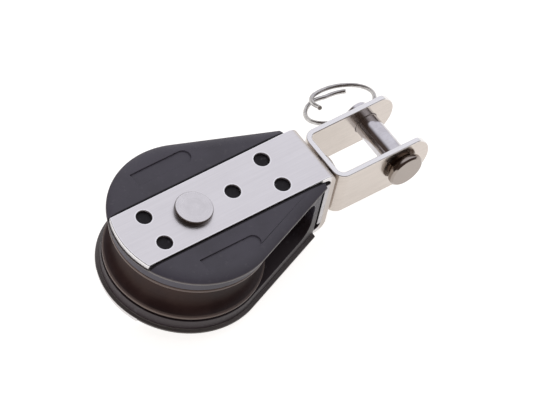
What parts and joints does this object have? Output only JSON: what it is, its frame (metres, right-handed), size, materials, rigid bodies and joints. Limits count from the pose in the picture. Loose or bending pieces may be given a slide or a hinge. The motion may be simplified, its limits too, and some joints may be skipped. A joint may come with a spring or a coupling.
{
  "type": "single sheave block",
  "caption": "Single sheave block: grooved sheave between moulded cheeks and a bent metal strap, with a swivelling clevis, pin and cotter ring.",
  "frame": {"origin": "centre of the sheave on its axle, in the block's middle plane", "axes": "+X along the block towards the clevis, +Y along the clevis pin towards the cotter ring, +Z along the sheave's axle; the block lies on its side"},
  "size_m": [0.1148, 0.0592, 0.033],
  "materials": {
    "upper_cheek": "moulded, satin",
    "lower_cheek": "moulded, satin",
    "strap": "brushed along its length",
    "crown_plate": "plain cut strip",
    "axle_rivet": "turned and polished",
    "axle_sleeve": "cut tube",
    "inner_race": "moulded acetal",
    "balls": "moulded acetal balls",
    "retainer": "moulded acetal",
    "sheave": "moulded, worn smooth in the groove",
    "swivel_rivet": "turned and headed",
    "swivel_washer": "stamped",
    "clevis_fork": "polished bent strip",
    "clevis_pin": "turned and polished",
    "cotter_ring": "coiled bright wire"
  },
  "bodies": {
    "block": {"upper_cheek": "upper_cheek", "lower_cheek": "lower_cheek", "strap": "strap", "crown_plate": "crown_plate", "axle_rivet": "axle_rivet", "axle_sleeve": "axle_sleeve", "inner_race": "inner_race", "upper_ball_retainer": "retainer", "lower_ball_retainer": "retainer", "swivel_rivet": "swivel_rivet", "swivel_washer": "swivel_washer"},
    "sheave": {"sheave": "sheave"},
    "balls": {"upper_balls": "balls", "lower_balls": "balls"},
    "fork": {"clevis_fork": "clevis_fork"},
    "pin": {"clevis_pin": "clevis_pin"},
    "ring": {"cotter_ring": "cotter_ring"}
  },
  "joints": [
    {"name": "sheave_spin", "type": "hinge", "parent": "block", "child": "sheave", "pos_m": [0, 0, 0], "axis": [0, 0, 1], "continuous": true},
    {"name": "ball_orbit", "type": "hinge", "parent": "block", "child": "balls", "pos_m": [0, 0, 0], "axis": [0, 0, 1], "continuous": true},
    {"name": "fork_swivel", "type": "hinge", "parent": "block", "child": "fork", "pos_m": [0.07568, 0, 0], "axis": [1, 0, 0], "continuous": true},
    {"name": "pin_turn", "type": "hinge", "parent": "fork", "child": "pin", "pos_m": [0.07568, 0, 0], "axis": [0, 1, 0], "continuous": true},
    {"name": "ring_swing", "type": "hinge", "parent": "pin", "child": "ring", "pos_m": [0.07568, 0.0124, 0], "axis": [0.9976, 0, 0.0698], "range_deg": [-59, 121]}
  ],
  "couplings": [
    {"joint": "ball_orbit", "follows": "sheave_spin", "ratio": 0.59856}
  ]
}
